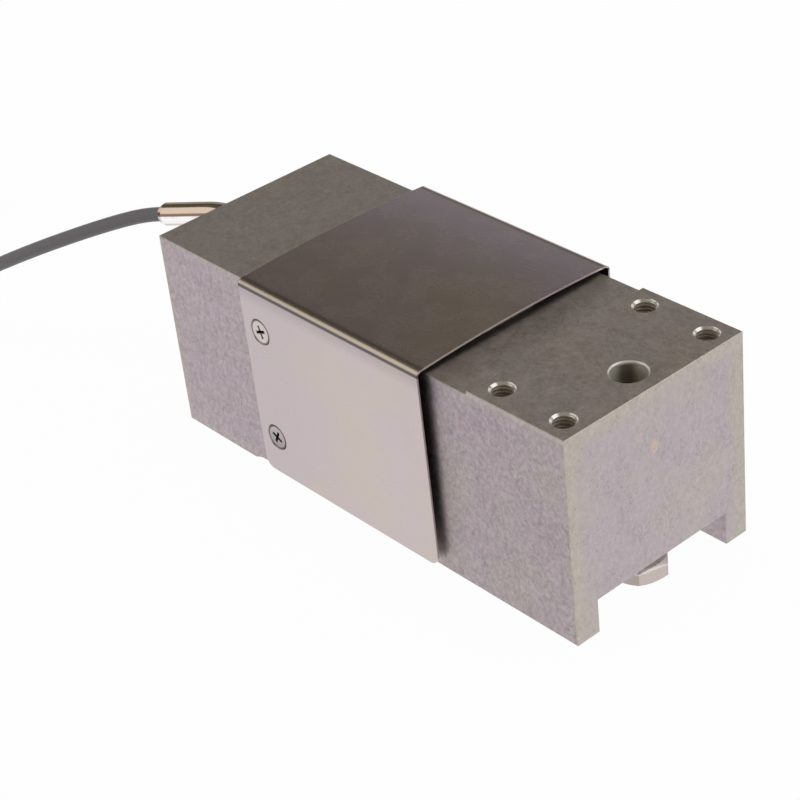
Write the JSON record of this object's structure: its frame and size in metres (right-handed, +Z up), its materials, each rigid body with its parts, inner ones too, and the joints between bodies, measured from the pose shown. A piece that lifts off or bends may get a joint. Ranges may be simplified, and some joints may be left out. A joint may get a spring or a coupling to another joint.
{
  "type": "single point load cell",
  "caption": "Aluminium bending beam load cell with raised load pad, threaded mounting holes, folded cover over its flexure, overload stop bolt and a shielded cable.",
  "frame": {"origin": "middle of the base, at the height of the face that is bolted down", "axes": "+X from the cable end, which is bolted down, to the loaded end; +Z up, out of the load pad; +Y to the side"},
  "size_m": [0.4402, 0.122, 0.0768],
  "materials": {
    "block_metal": "fine mottled blasted metal",
    "cover_metal": "rolled sheet with a fine grain along the block",
    "screw_metal": "turned, bright",
    "bolt_metal": "plain, satin",
    "sleeve_metal": "polished",
    "gland_metal": "nickel plated",
    "bracket_metal": "satin sheet",
    "seal_rubber": "black",
    "gauge_foil": "amber film",
    "coating": "grey silicone",
    "board": "green solder mask",
    "chip": "black ceramic",
    "fine_wire": "red enamel",
    "cable_jacket": "grey, smooth",
    "tie_nylon": "natural",
    "shrink_sleeve": "black",
    "tinned_wire": "tinned strands",
    "lead_red": "insulated lead",
    "lead_black": "insulated lead",
    "lead_green": "insulated lead",
    "lead_white": "insulated lead",
    "lead_shield": "insulated lead of the shield"
  },
  "bodies": {
    "root": {"beam_body": "block_metal", "board_bracket": "bracket_metal", "board_resistors": "chip", "board_screw_far": "screw_metal", "board_screw_near": "screw_metal", "bracket_screw_far": "screw_metal", "bracket_screw_near": "screw_metal", "bridge_wires": "fine_wire", "cable_coil": "cable_jacket", "cable_end": "cable_jacket", "cable_gland": "gland_metal", "cable_run": "cable_jacket", "cable_sleeve": "sleeve_metal", "cable_tail": "cable_jacket", "circuit_board": "board", "coil_tie_1": "tie_nylon", "coil_tie_2": "tie_nylon", "cover": "cover_metal", "cover_screw_far_lower": "screw_metal", "cover_screw_far_upper": "screw_metal", "cover_screw_near_lower": "screw_metal", "cover_screw_near_upper": "screw_metal", "cover_seal": "seal_rubber", "end_shrink": "shrink_sleeve", "gauge_bottom_fixed": "gauge_foil", "gauge_bottom_loaded": "gauge_foil", "gauge_coating_bottom_fixed": "coating", "gauge_coating_bottom_loaded": "coating", "gauge_coating_top_fixed": "coating", "gauge_coating_top_loaded": "coating", "gauge_top_fixed": "gauge_foil", "gauge_top_loaded": "gauge_foil", "gland_washer": "seal_rubber", "lead_black": "lead_black", "lead_green": "lead_green", "lead_red": "lead_red", "lead_shield": "lead_shield", "lead_tips": "tinned_wire", "lead_white": "lead_white", "stop_bolt": "bolt_metal", "supply_wires": "fine_wire"}
  },
  "joints": []
}
